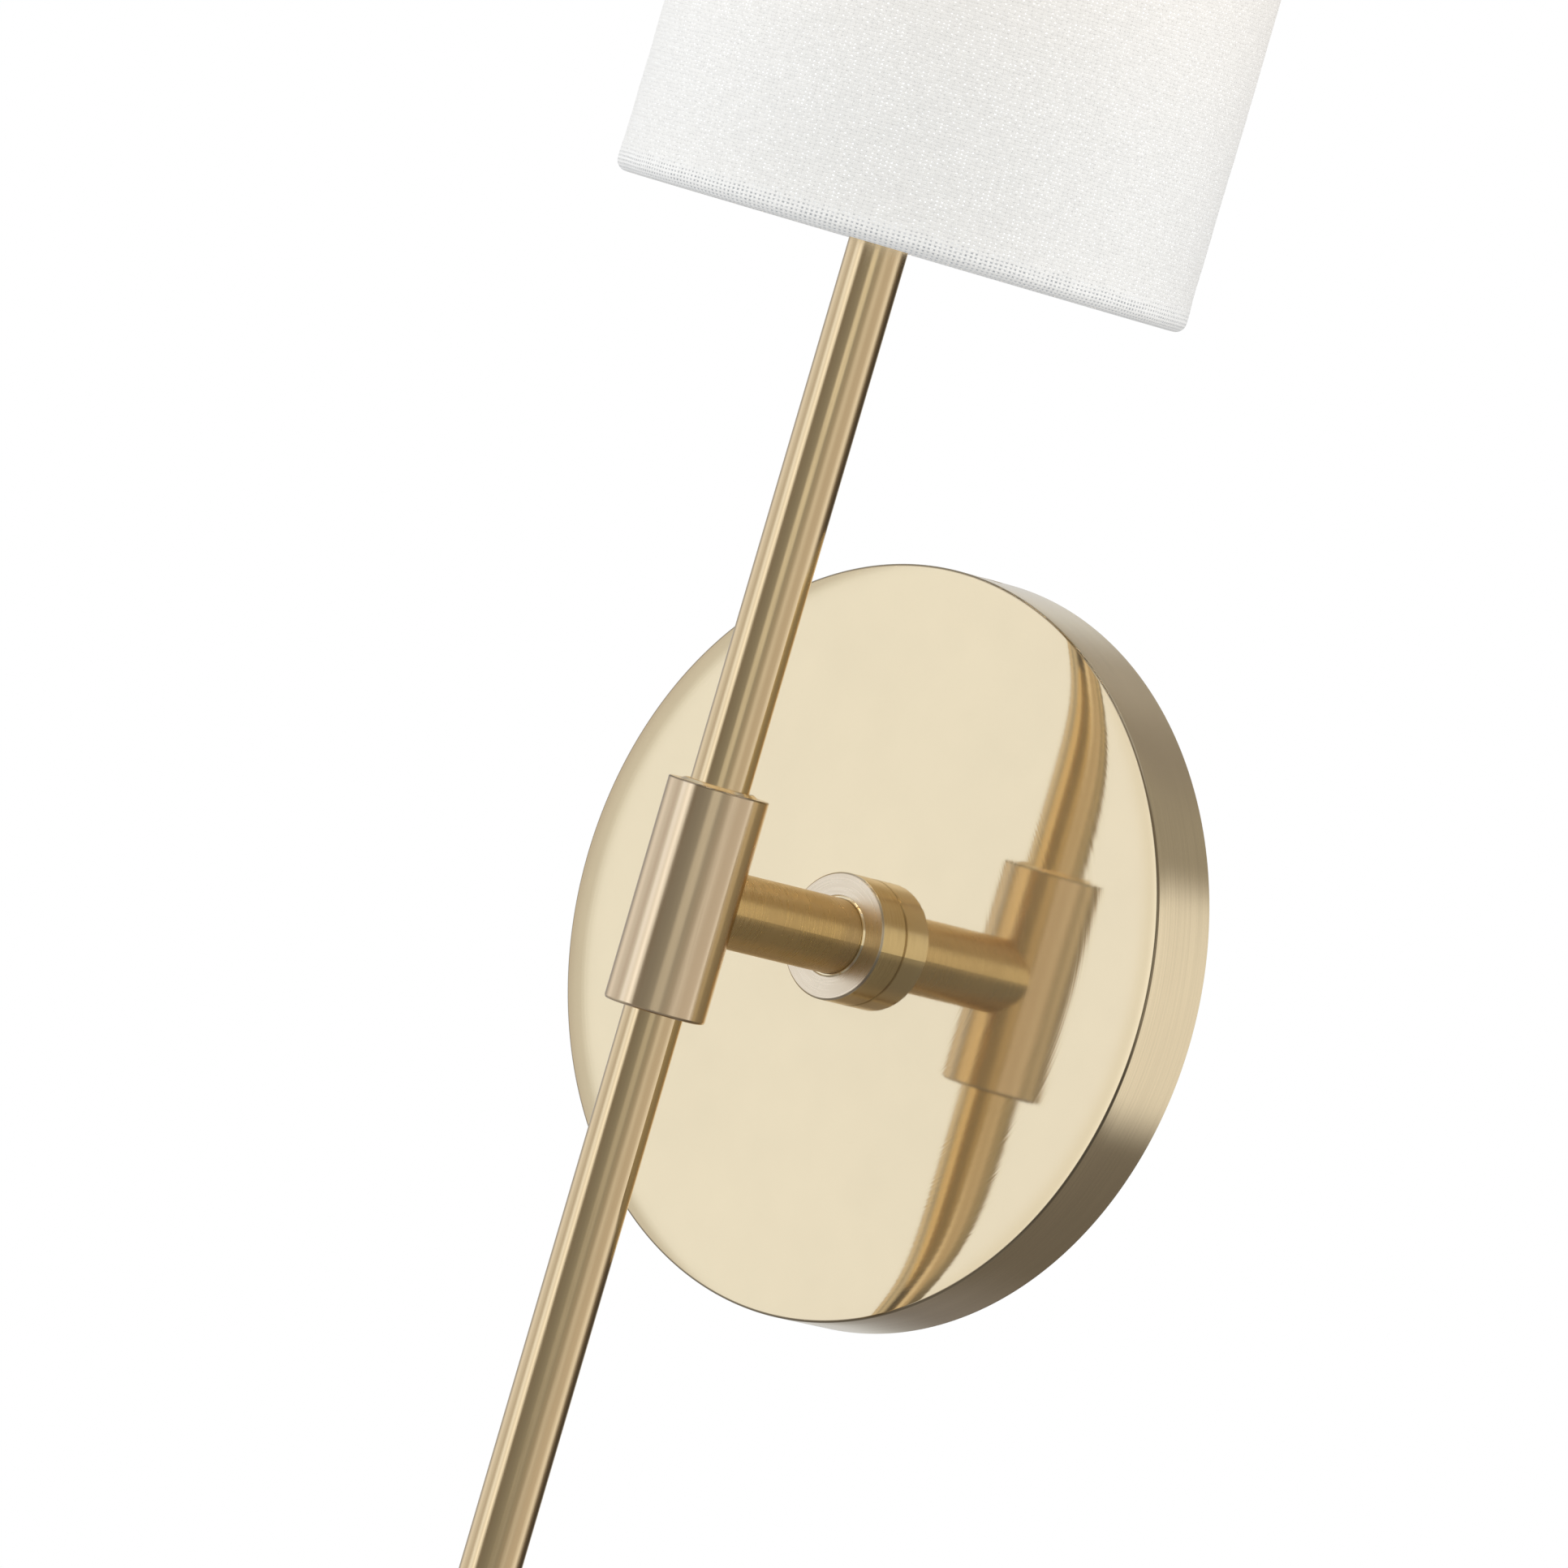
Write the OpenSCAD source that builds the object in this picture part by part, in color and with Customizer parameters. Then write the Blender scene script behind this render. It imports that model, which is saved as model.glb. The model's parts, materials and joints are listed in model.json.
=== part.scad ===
// Swing arm wall sconce: a round backplate, a short arm that swivels in a collar, a long stem held in
// a sleeve at the end of the arm, and a linen drum shade with its lamp at the top of the stem.
// The origin is the middle of the backplate's back, on the wall. +Y points into the wall, +Z up.

/* [Backplate] */
// Outside diameter of the backplate
plate_d = 120.65; // [112:0.05:140]
// Height of its rim, from the wall to the edge of the face
plate_rim = 12.8; // [12.5:0.1:18]
// How far the middle of the face stands proud of its edge
plate_crown = 0.4; // [0.2:0.1:1.5]
// Thickness of the spun sheet
plate_sheet = 1.2; // [0.8:0.1:1.6]

/* [Swivel and arm] */
// Outside diameter of the collar
collar_d = 20.4; // [20:0.1:26]
// How far the collar stands off the face of the backplate
collar_t = 5.7; // [5.6:0.1:8]
// Outside diameter of the arm
arm_d = 12.1; // [11.6:0.1:12.2]
// Distance from the wall to the axis of the stem
stem_reach = 54.5; // [50:0.5:80]
// How far the arm swivels each way before it meets its stop
swivel_limit = 90; // [30:1:110]

/* [Sleeve] */
// Outside diameter of the sleeve
sleeve_d = 16.2; // [15.6:0.1:18]
// Length of the sleeve
sleeve_len = 36; // [36:1:60]
// How far the stem slides up and down from the middle of its travel
stem_travel = 7; // [2:0.5:7]
// How far the stem turns each way
turn_limit = 90; // [30:1:90]

/* [Stem] */
// Outside diameter of the stem
stem_d = 9.5; // [9.3:0.05:9.6]
// Length of stem below the middle of the sleeve
stem_drop = 245; // [60:1:400]

/* [Shade] */
// Outside diameter of the drum shade
shade_d = 91.7; // [84:0.1:140]
// Height of the drum shade
shade_h = 165; // [150:1:220]
// Height of its lower edge above the middle of the sleeve
shade_bottom = 105.7; // [90:0.1:160]
// How far the drum sits back from the stem's axis, towards the wall
shade_set_back = 5; // [0:0.5:6]

/* [Hidden] */
$fn = 96;

brass = "#c9a865";
polished_brass = "#e3cf9e";
steel = "#b8bcc0";
nylon = "#e9e5d8";
phenolic = "#24211f";
linen = "#f7f6f3";
clear_glass = "#ffffff";

fit = 0.05;                       // running clearance of a turning or sliding fit
snug = 0.02;                      // clearance of screwed, pressed and stacked parts
free = 0.3;                       // clearance where parts only have to miss each other
over = 1;                         // overshoot of a cutting shape
edge = 0.3;                       // small chamfer on a turned edge

// Backplate
plate_r = plate_d / 2;
face_h = plate_rim + plate_crown; // height of the middle of the face above the wall
face_edge_r = 0.4;                // radius of the edge between face and rim
crown_power = 22;                 // the face is flat, and falls away only close to its edge
crown_steps = 24;
nipple_r = 4.8;
nipple_bore_r = 3.2;
nipple_from = 4.5;
plate_hole_r = nipple_r + 0.2;
lock_washer_t = 1.1;
lock_nut_t = 3.5;
lock_nut_r = 8.6;

// Bracket and its screws
bracket_t = 1.6;
bracket_w = 20;
bracket_tab_z = plate_r - 4.7;    // inner face of the bent tabs
bracket_tab_h = 10.5;
bracket_disc_r = 22;
wire_entry_r = 12;
slot_spacing = 79.4;              // one slot takes boxes drilled at 69.9 and at 88.9
slot_len = 23.5;
slot_r = 2.25;
screw_r = 2;
screw_h = 7;                      // height of the set screws above the wall
screw_inset = 0.4;                // how far a set screw reaches in past its tab
socket_r = 1.1;                   // hexagonal sockets of the set screws and the friction screw
socket_depth = 1.2;
driver_slot_w = 1;
ground_x = -17;
ground_head_r = 3.8;
ground_head_h = 2.2;

// Swivel, from the face of the backplate outwards
hub_base_r = 9;
hub_base_t = 1.8;
washer_room = 0.4;                // one thin washer fits in front of the flange and one behind it
flange_r = 7.8;
flange_t = 1.6;
flange_h = face_h + hub_base_t + washer_room;
front_wall = collar_t - hub_base_t - flange_t - 2 * washer_room;
arm_r = arm_d / 2;
arm_bore_r = 4.5;
bearing_r = arm_r + 0.5;
bearing_proud = 0.25;
pin_r = 0.55;
pin_at_r = 7.1;
pin_hole_h = 0.4;
notch_angle = swivel_limit + asin(pin_r / pin_at_r) + free;

// Sleeve and what it holds
sleeve_r = sleeve_d / 2;
sleeve_bore_r = 6.3;
sleeve_half = sleeve_len / 2;
stem_r = stem_d / 2;
stem_bore_r = 3.75;
end_ring_t = 2.5;
end_ring_proud = 0.4;
end_ring_bore_r = stem_r + free;
guide_half = 10.4;
bush_gap = 0.1;
ferrule_r = 2.58;
ferrule_bore_r = 1.9;
ferrule_tip = stem_r + 0.35;      // distance of its inner end from the stem's axis
ferrule_inset = 3;                // how far it reaches back into the arm
window_half = 3.2;
window_angle = turn_limit + asin(ferrule_r / ferrule_tip) + free;
key_w = 2;
key_half = 2;
key_depth = 0.8;
slot_half = key_half + stem_travel + snug;
wire_slot_w = 3.2;
friction_screw_z = -13;
lead_r = 0.7;
lead_x = 0.9;
lead_end_gap = 0.5;

// Lamp holder, upwards from the stem's top
cup_z = shade_bottom + 12.3;
cup_h = 28;
cup_top = cup_z + cup_h;
cup_r = 15;
cup_wall = 1;
cup_foot_r = 7;
cup_floor = 2;
cup_flare = 13;
cup_steps = 8;
stem_nut_t = 2.5;
stem_top = cup_z + 8;
holder_z = cup_z + 10;
holder_r = 12.3;
holder_top = cup_z + 52;
ridge_r = 13;                     // threads that the shade ring runs on
ridge_pitch = 3;
frame_hub_t = 1.2;
frame_hub_r = 17;
shade_ring_t = 4.8;
shade_ring_r = 19;
grips = 12;
grip_r = 1.2;

// Lamp: small screw base and a torpedo bulb
pocket_floor = cup_z + 33.5;
shell_r = 6.9;
contact_t = 0.5;
contact_len = 6;
contact_post_r = 1.5;
base_z = pocket_floor + 3.2;
base_h = 14;
base_r = 5.9;
base_chamfer = 0.8;
base_floor_t = 1.2;
base_floor_h = 3;                 // the floor of the base slopes up to this height inside it
thread_z = base_z + 2;
thread_pitch = 2.54;
thread_turns = 4;
thread_steps = 8;
thread_depth = 0.6;
thread_clear = 0.25;
base_hole_r = 3.2;
insulator_t = 1;
contact_r = 1.9;
contact_proud = 0.45;
glass_in_base = 2;
bulb_z = base_z + base_h - glass_in_base;
bulb_h = 80;
bulb_r = 17.5;
bulb_widest = 0.45;               // share of the torpedo's length where it is widest
bulb_steps = 24;
neck_r = 5.1;
neck_h = holder_top + free - bulb_z;
glass_t = 0.8;
mount_flare_r = 3.2;
mount_flare_h = 6;
post_r = 1.2;
post_tip = 2;                     // how far the glass post stands above the filaments
filament_r = 0.9;
filament_x = 5.2;
filament_z = bulb_z + 16;
filament_h = 34;
filament_angles = [45:90:315];
support_w = 0.6;                  // wires that carry the filaments, and the bands they start from
support_band = 0.8;

// Shade
shade_r = shade_d / 2;
shade_y = -stem_reach + shade_set_back;
shade_top = shade_bottom + shade_h;
cloth_t = 0.7;
liner_t = 0.4;
hem_h = 6;
hem_round = 1.2;
wire_r = 1.05;
spoke_r = 1;
wire_path_r = shade_r - cloth_t - liner_t - wire_r - snug;
wire_rise = cloth_t + wire_r + snug;
hem_in_r = wire_path_r - wire_r - snug - cloth_t;
spoke_angles = [90, 210, 330];
spoke_notch_w = 4;

// ---- helpers -------------------------------------------------------------

// Turns children so that their +Z points out of the wall, h millimetres off it.
module off_wall(h = 0) translate([0, -h, 0]) rotate([90, 0, 0]) children();

module at_stem(z = 0) translate([0, -stem_reach, z]) children();

module at_shade(z = 0) translate([0, shade_y, z]) children();

module upside_down(flip) mirror([0, 0, flip ? 1 : 0]) children();

module tube(r_out, r_in, h) {
    difference() {
        cylinder(r = r_out, h = h);
        translate([0, 0, -over]) cylinder(r = r_in, h = h + 2 * over);
    }
}

// A round rod from point a to point b.
module rod(a, b, r) {
    d = b - a;
    len = norm(d);
    translate(a) rotate([0, acos(d[2] / len), atan2(d[1], d[0])]) cylinder(r = r, h = len);
}

// A sector of a disc between two angles.
module wedge(from, to, r, h) {
    steps = 12;
    linear_extrude(h) polygon(concat(
        [[0, 0]],
        [for (i = [0:steps]) let (a = from + (to - from) * i / steps) r * [cos(a), sin(a)]]
    ));
}

function reversed(list) = [for (i = [len(list) - 1:-1:0]) list[i]];

// The edge of a rolled thread: it waves inwards from radius r.
function thread_edge(r) = [for (i = [0:thread_steps * thread_turns])
    [r - thread_depth * (1 - cos(360 * i / thread_steps)) / 2, thread_z + thread_pitch * i / thread_steps]];

// Cuts a hexagonal socket into the end of a screw at z = 0.
module hex_socket() {
    translate([0, 0, -socket_depth]) cylinder(r = socket_r, h = socket_depth + over, $fn = 6);
}

// ---- backplate and what holds it -------------------------------------------

function crown_at(r) = face_h - plate_crown * pow(r / plate_r, crown_power);

// Points of the face from one radius to another, lowered by drop, closer together towards the second.
function crown_points(from, to, drop) = [for (i = [0:crown_steps])
    let (r = from + (to - from) * sin(90 * i / crown_steps)) [r, crown_at(r) - drop]];

module backplate_profile() {
    top_r = plate_r - face_edge_r;
    corner = crown_at(top_r) - face_edge_r;
    inner_r = plate_r - plate_sheet;
    polygon(concat(
        crown_points(plate_hole_r, top_r, 0),
        [for (a = [60:-30:0]) [top_r + face_edge_r * cos(a), corner + face_edge_r * sin(a)]],
        [[plate_r, 0], [inner_r, 0]],
        reversed(crown_points(plate_hole_r, inner_r, plate_sheet))
    ));
}

module backplate() {
    color(polished_brass) difference() {
        off_wall() rotate_extrude() backplate_profile();
        for (flip = [false, true]) upside_down(flip)
            translate([0, -screw_h, plate_r - 2 * plate_sheet])
                cylinder(r = screw_r + snug, h = 4 * plate_sheet);
    }
}

module bracket_slot() {
    half = slot_len / 2 - slot_r;
    for (s = [-1, 1]) translate([0, s * half, -over]) cylinder(r = slot_r, h = bracket_t + 2 * over);
    translate([-slot_r, -half, -over]) cube([2 * slot_r, 2 * half, bracket_t + 2 * over]);
}

module mounting_bracket() {
    tab_out = bracket_tab_z + bracket_t;
    color(steel) difference() {
        off_wall() {
            cylinder(r = bracket_disc_r, h = bracket_t);
            translate([-bracket_w / 2, -tab_out, 0]) cube([bracket_w, 2 * tab_out, bracket_t]);
            for (z = [-tab_out, bracket_tab_z])
                translate([-bracket_w / 2, z, 0]) cube([bracket_w, bracket_t, bracket_tab_h]);
        }
        off_wall(-over) cylinder(r = wire_entry_r, h = bracket_t + 2 * over);
        off_wall(-over) translate([ground_x, 0, 0]) cylinder(r = screw_r, h = bracket_t + 2 * over);
        for (s = [-1, 1]) off_wall() translate([0, s * slot_spacing / 2, 0]) bracket_slot();
        translate([0, -screw_h, -plate_r]) cylinder(r = screw_r, h = plate_d);
    }
}

module ground_screw() {
    color("#3f8f4f") off_wall() translate([ground_x, 0, 0]) difference() {
        union() {
            cylinder(r = screw_r - snug, h = bracket_t + over);
            translate([0, 0, bracket_t + snug]) cylinder(r = ground_head_r, h = ground_head_h);
        }
        translate([-ground_head_r - over, -driver_slot_w / 2, bracket_t + ground_head_h / 2])
            cube([2 * (ground_head_r + over), driver_slot_w, ground_head_h]);
    }
}

module set_screws() {
    len = plate_r - bracket_tab_z;
    for (flip = [false, true]) color(brass) upside_down(flip)
        translate([0, -screw_h, bracket_tab_z - screw_inset]) difference() {
            cylinder(r = screw_r - snug, h = len);
            translate([0, 0, len]) hex_socket();
        }
}

module nipple() {
    color(brass) off_wall(nipple_from) tube(nipple_r, nipple_bore_r, face_h + hub_base_t - nipple_from);
}

module lock_washer() {
    color(steel) off_wall(face_h - plate_sheet - lock_washer_t)
        tube(lock_nut_r, nipple_r + snug, lock_washer_t - snug);
}

module lock_nut() {
    color(brass) off_wall(face_h - plate_sheet - lock_washer_t - lock_nut_t) difference() {
        cylinder(r = lock_nut_r, h = lock_nut_t - snug, $fn = 6);
        translate([0, 0, -over]) cylinder(r = nipple_r + snug, h = lock_nut_t + 2 * over);
    }
}

// ---- swivel between backplate and arm ------------------------------------------

module hub_base() {
    color(brass) off_wall(face_h) difference() {
        cylinder(r = hub_base_r, h = hub_base_t);
        translate([0, 0, -over]) cylinder(r = nipple_r + snug, h = hub_base_t + 2 * over);
        translate([0, -pin_at_r, pin_hole_h]) cylinder(r = pin_r + snug, h = hub_base_t);
    }
}

// Stands in front of the hub base, in the notch of the arm's flange.
module stop_pin() {
    color(steel) off_wall(face_h + pin_hole_h) translate([0, -pin_at_r, 0])
        cylinder(r = pin_r, h = hub_base_t + washer_room + flange_t - pin_hole_h - free);
}

module collar() {
    r = collar_d / 2;
    pocket_r = flange_r + free;
    pocket_top = collar_t - front_wall;
    color(brass) off_wall(face_h) rotate_extrude() polygon([
        [hub_base_r + snug, 0], [r - edge, 0], [r, edge], [r, collar_t - edge], [r - edge, collar_t],
        [bearing_r, collar_t], [bearing_r, pocket_top], [pocket_r, pocket_top],
        [pocket_r, hub_base_t + snug], [hub_base_r + snug, hub_base_t + snug]
    ]);
}

module bearing_ring() {
    r = bearing_r - snug;
    h = front_wall + bearing_proud;
    color(polished_brass) off_wall(face_h + collar_t - front_wall) rotate_extrude() polygon([
        [arm_r + fit, 0], [r, 0], [r, h - bearing_proud], [r - bearing_proud, h], [arm_r + fit, h]
    ]);
}

module friction_washer() {
    color(nylon) off_wall(face_h + hub_base_t + snug)
        tube(pin_at_r - pin_r - 2 * fit, arm_bore_r, washer_room - 2 * snug);
}

module spring_washer() {
    color(steel) off_wall(flange_h + flange_t + snug)
        tube(flange_r, bearing_r - snug, washer_room - 2 * snug);
}

// ---- arm and sleeve ------------------------------------------------------------

// A tube with a flange at the wall end. The flange lacks a notch, which the stop pin stands in.
module arm_tube() {
    color(brass) difference() {
        off_wall(flange_h) {
            cylinder(r = arm_r, h = stem_reach - flange_h);
            difference() {
                cylinder(r = flange_r, h = flange_t);
                translate([0, 0, -over]) difference() {
                    wedge(-90 - notch_angle, -90 + notch_angle, 2 * flange_r, flange_t + 2 * over);
                    cylinder(r = arm_r + free, h = flange_t + 2 * over);
                }
            }
        }
        off_wall(flange_h - over) cylinder(r = arm_bore_r, h = stem_reach);
        at_stem(-sleeve_len) cylinder(r = sleeve_r + snug, h = 2 * sleeve_len);
    }
}

module sleeve() {
    color(brass) difference() {
        at_stem() rotate_extrude() polygon([
            [sleeve_bore_r, -sleeve_half], [sleeve_r - 1.5 * edge, -sleeve_half],
            [sleeve_r - edge / 2, -sleeve_half + edge / 2], [sleeve_r, -sleeve_half + 1.5 * edge],
            [sleeve_r, sleeve_half - edge / 2], [sleeve_r - edge / 2, sleeve_half],
            [sleeve_bore_r, sleeve_half]
        ]);
        off_wall(stem_reach - sleeve_r - over) cylinder(r = ferrule_r + snug, h = sleeve_r + over);
        at_stem(friction_screw_z) rotate([0, -90, 0]) cylinder(r = screw_r, h = sleeve_r + over);
    }
}

// A brass ring that closes one end of the sleeve. The one at the top stands a little proud.
module end_ring(proud) {
    r = sleeve_bore_r - snug;
    at_stem() rotate_extrude() polygon([
        [end_ring_bore_r, sleeve_half - end_ring_t], [r, sleeve_half - end_ring_t], [r, sleeve_half],
        [end_ring_bore_r + 2 * edge, sleeve_half + proud], [end_ring_bore_r, sleeve_half + proud - edge]
    ]);
}

module upper_end_ring() color(polished_brass) end_ring(end_ring_proud);

module lower_end_ring() color(polished_brass) upside_down(true) end_ring(0);

module bush() {
    from = guide_half + bush_gap;
    at_stem(from) tube(sleeve_bore_r - snug, stem_r + fit, sleeve_half - end_ring_t - from - snug);
}

module upper_bush() color(nylon) bush();

module lower_bush() color(nylon) upside_down(true) bush();

// Insulates the leads where they pass from the arm into the stem.
module wire_ferrule() {
    from = stem_reach - sleeve_r - ferrule_inset;
    color(nylon) off_wall(from) tube(ferrule_r, ferrule_bore_r, stem_reach - ferrule_tip - from);
}

module friction_screw() {
    from = sleeve_bore_r + snug;
    color(steel) at_stem(friction_screw_z) rotate([0, -90, 0]) difference() {
        translate([0, 0, from]) cylinder(r = screw_r - snug, h = sleeve_r - free - from);
        translate([0, 0, sleeve_r - free]) hex_socket();
    }
}

module lead_pair(len) {
    for (s = [-1, 1]) color(s > 0 ? "white" : "black")
        translate([s * lead_x, 0, 0]) cylinder(r = lead_r, h = len);
}

module arm_leads() {
    from = flange_h + lead_end_gap;
    off_wall(from) lead_pair(stem_reach - ferrule_tip - lead_end_gap - from);
}

// Turns with the stem between the two bushes: its key runs in the stem's slot while the stem slides.
// Its window lets the leads through at every turn of the stem.
module guide_bush() {
    r = sleeve_bore_r - 2 * fit;
    color(nylon) at_stem() {
        difference() {
            translate([0, 0, -guide_half]) tube(r, stem_r + fit, 2 * guide_half);
            translate([0, 0, -window_half])
                wedge(90 - window_angle, 90 + window_angle, 2 * sleeve_bore_r, 2 * window_half);
        }
        translate([-key_w / 2, -r + edge, -key_half])
            cube([key_w, r - edge - stem_r + key_depth, 2 * key_half]);
    }
}

// ---- stem ---------------------------------------------------------------------

// The slot in front takes the key and the one behind lets the leads in.
module stem() {
    wall = stem_r - stem_bore_r;
    color(brass) difference() {
        at_stem(-stem_drop) tube(stem_r, stem_bore_r, stem_top + stem_drop);
        translate([-key_w / 2 - fit, -stem_reach - stem_r - over, -slot_half])
            cube([key_w + 2 * fit, wall + 2 * over, 2 * slot_half]);
        translate([-wire_slot_w / 2, -stem_reach + stem_bore_r - over, -slot_half])
            cube([wire_slot_w, wall + 2 * over, 2 * slot_half]);
    }
}

module stem_end_cap() {
    plug = 6;
    dome = 2.6;
    lip = 0.8;
    color(brass) at_stem(-stem_drop) rotate_extrude() polygon(concat(
        [[0, plug], [stem_bore_r - snug, plug], [stem_bore_r - snug, -snug], [stem_r, -snug]],
        [for (a = [0:15:90]) [stem_r * cos(a), -lip - dome * sin(a)]]
    ));
}

// The cup's wall from the foot up: it flares from radius r0 to r1 between heights z0 and z1.
function cup_curve(r0, r1, z0, z1) = [for (i = [0:cup_steps]) let (a = 90 * i / cup_steps)
    [r0 + (r1 - r0) * sin(a), z0 + (z1 - z0) * (1 - cos(a))]];

module socket_cup() {
    color(brass) at_stem(cup_z) rotate_extrude() polygon(concat(
        [[stem_r + snug, 0]],
        cup_curve(cup_foot_r, cup_r, 0, cup_flare),
        [[cup_r, cup_h], [cup_r - cup_wall, cup_h]],
        reversed(cup_curve(cup_foot_r, cup_r - cup_wall, cup_floor, cup_flare)),
        [[stem_r + snug, cup_floor]]
    ));
}

module stem_nut() {
    color(brass) at_stem(cup_z + cup_floor + snug) difference() {
        cylinder(r = cup_foot_r, h = stem_nut_t, $fn = 6);
        translate([0, 0, -over]) cylinder(r = stem_r + snug, h = stem_nut_t + 2 * over);
    }
}

module lamp_holder() {
    ridges_from = cup_top + frame_hub_t + shade_ring_t / 2;
    color(phenolic) at_stem() difference() {
        union() {
            translate([0, 0, holder_z]) cylinder(r = holder_r, h = holder_top - holder_z);
            for (z = [ridges_from:ridge_pitch:holder_top - ridge_pitch])
                translate([0, 0, z]) cylinder(r = ridge_r, h = ridge_pitch / 2);
            translate([0, 0, cup_top - ridge_pitch]) cylinder(r = ridge_r, h = ridge_pitch);
        }
        translate([0, 0, pocket_floor]) cylinder(r = shell_r + snug, h = holder_top);
        for (s = [-1, 1]) translate([s * lead_x, 0, holder_z - over])
            cylinder(r = lead_r + snug, h = holder_top - holder_z);
    }
}

// Screws down on the lamp holder and clamps the frame's hub to the cup.
module shade_ring() {
    color(phenolic) at_stem(cup_top + frame_hub_t + snug) difference() {
        tube(shade_ring_r, ridge_r + snug, shade_ring_t);
        for (i = [0:grips - 1]) rotate(360 * i / grips) translate([shade_ring_r + grip_r / 2, 0, -over])
            cylinder(r = grip_r, h = shade_ring_t + 2 * over);
    }
}

module screw_shell() {
    r = base_r + thread_clear;
    top = holder_top - over;
    color(brass) at_stem() rotate_extrude() polygon(concat(
        [[shell_r, base_z], [shell_r, top], [r, top]], reversed(thread_edge(r)), [[r, base_z]]
    ));
}

module centre_contact() {
    color(brass) at_stem(pocket_floor + snug) {
        translate([-contact_r, -contact_len / 2, 0]) cube([2 * contact_r, contact_len, contact_t]);
        cylinder(r = contact_post_r, h = base_z - contact_proud - pocket_floor - 2 * snug);
    }
}

module stem_leads() {
    from = -ferrule_bore_r;
    at_stem(from) lead_pair(pocket_floor - from);
}

// ---- shade ---------------------------------------------------------------------

// Section of the cloth at the drum's lower edge: the wall, turned in under the ring wire and up behind it.
module hem_section() polygon([
    [shade_r, hem_h], [shade_r, hem_round], [shade_r - hem_round / 2, 0], [hem_in_r, 0], [hem_in_r, hem_h],
    [hem_in_r + cloth_t, hem_h], [hem_in_r + cloth_t, cloth_t], [shade_r - cloth_t, cloth_t],
    [shade_r - cloth_t, hem_h]
]);

module shade_fabric() {
    color(linen) at_shade() difference() {
        rotate_extrude() {
            translate([0, shade_bottom]) hem_section();
            translate([shade_r - cloth_t, shade_bottom + hem_h]) square([cloth_t, shade_h - 2 * hem_h]);
            translate([0, shade_top]) mirror([0, 1]) hem_section();
        }
        for (a = spoke_angles) rotate(a)
            translate([hem_in_r - over, -spoke_notch_w / 2, shade_bottom + cloth_t])
                cube([cloth_t + 2 * over, spoke_notch_w, hem_h]);
    }
}

module shade_liner() {
    rise = cloth_t + snug;
    color("white") at_shade(shade_bottom + rise)
        tube(shade_r - cloth_t - snug, shade_r - cloth_t - liner_t, shade_h - 2 * rise);
}

module ring_wire() rotate_extrude() translate([wire_path_r, 0]) circle(r = wire_r);

module top_ring() color(steel) at_shade(shade_top - wire_rise) ring_wire();

// The lower ring wire, three spokes and the hub that sits on the lamp cup, welded into one.
module shade_frame() {
    hub_z = cup_top + frame_hub_t / 2;
    wire_z = shade_bottom + wire_rise;
    color(steel) {
        at_shade(wire_z) ring_wire();
        at_stem(cup_top + snug) tube(frame_hub_r, ridge_r + free, frame_hub_t - 2 * snug);
        for (a = spoke_angles) rod(
            [frame_hub_r * cos(a), -stem_reach + frame_hub_r * sin(a), hub_z],
            [wire_path_r * cos(a), shade_y + wire_path_r * sin(a), wire_z], spoke_r);
    }
}

// ---- bulb ----------------------------------------------------------------------

// Radius of the torpedo at height t, from 0 at the top of its neck to 1 at the tip.
function bulb_at(t) = t < bulb_widest
    ? neck_r + (bulb_r - neck_r) * pow(sin(90 * t / bulb_widest), 1.3)
    : bulb_r * pow(cos(90 * (t - bulb_widest) / (1 - bulb_widest)), 0.75);

// The glass from the foot of its neck, which the lamp holder's rim surrounds, to just below the tip.
function bulb_edge(inset) = concat(
    [[neck_r - inset, 0]],
    [for (i = [0:bulb_steps - 1]) let (t = i / bulb_steps)
        [bulb_at(t) - inset, neck_h + (bulb_h - neck_h - inset) * t]]
);

module bulb_glass() {
    color(clear_glass, 0.35) at_stem(bulb_z) rotate_extrude() polygon(concat(
        bulb_edge(0), [[0, bulb_h], [0, bulb_h - 2 * glass_t]], reversed(bulb_edge(glass_t))
    ));
}

module bulb_base() {
    color(brass) at_stem() rotate_extrude() polygon(concat(
        [[base_hole_r, base_z], [base_r - base_chamfer, base_z + base_chamfer]],
        thread_edge(base_r),
        [[base_r, base_z + base_h], [neck_r + snug, base_z + base_h],
            [neck_r + snug, base_z + base_floor_h], [base_hole_r, base_z + base_floor_t]]
    ));
}

module bulb_insulator() {
    color(phenolic) at_stem(base_z) tube(base_hole_r - snug, contact_r, insulator_t);
}

module bulb_contact() {
    color(brass) at_stem(base_z - contact_proud)
        cylinder(r = contact_r - snug, h = contact_proud + insulator_t);
}

module filament_mount() {
    from = bulb_z + glass_t;
    color(clear_glass, 0.35) at_stem(from) {
        cylinder(r = mount_flare_r, h = mount_flare_h);
        cylinder(r = post_r, h = filament_z + filament_h + post_tip - from);
    }
}

// Four filaments hang between two wire crosses on the glass post.
module filament_wires() {
    for (z = [filament_z - contact_t - snug, filament_z + filament_h + snug])
        color(steel) at_stem(z) {
            tube(post_r + support_band, post_r + snug, contact_t);
            for (a = filament_angles) rotate(a) translate([post_r + support_band / 2, -support_w / 2, 0])
                cube([filament_x + support_w / 2 - post_r - support_band / 2, support_w, contact_t]);
        }
}

module filaments() {
    color("#ffd98a") at_stem(filament_z) for (a = filament_angles) rotate(a)
        translate([filament_x, 0, 0]) cylinder(r = filament_r, h = filament_h);
}

// ---- what is drawn ---------------------------------------------------------------

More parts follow.
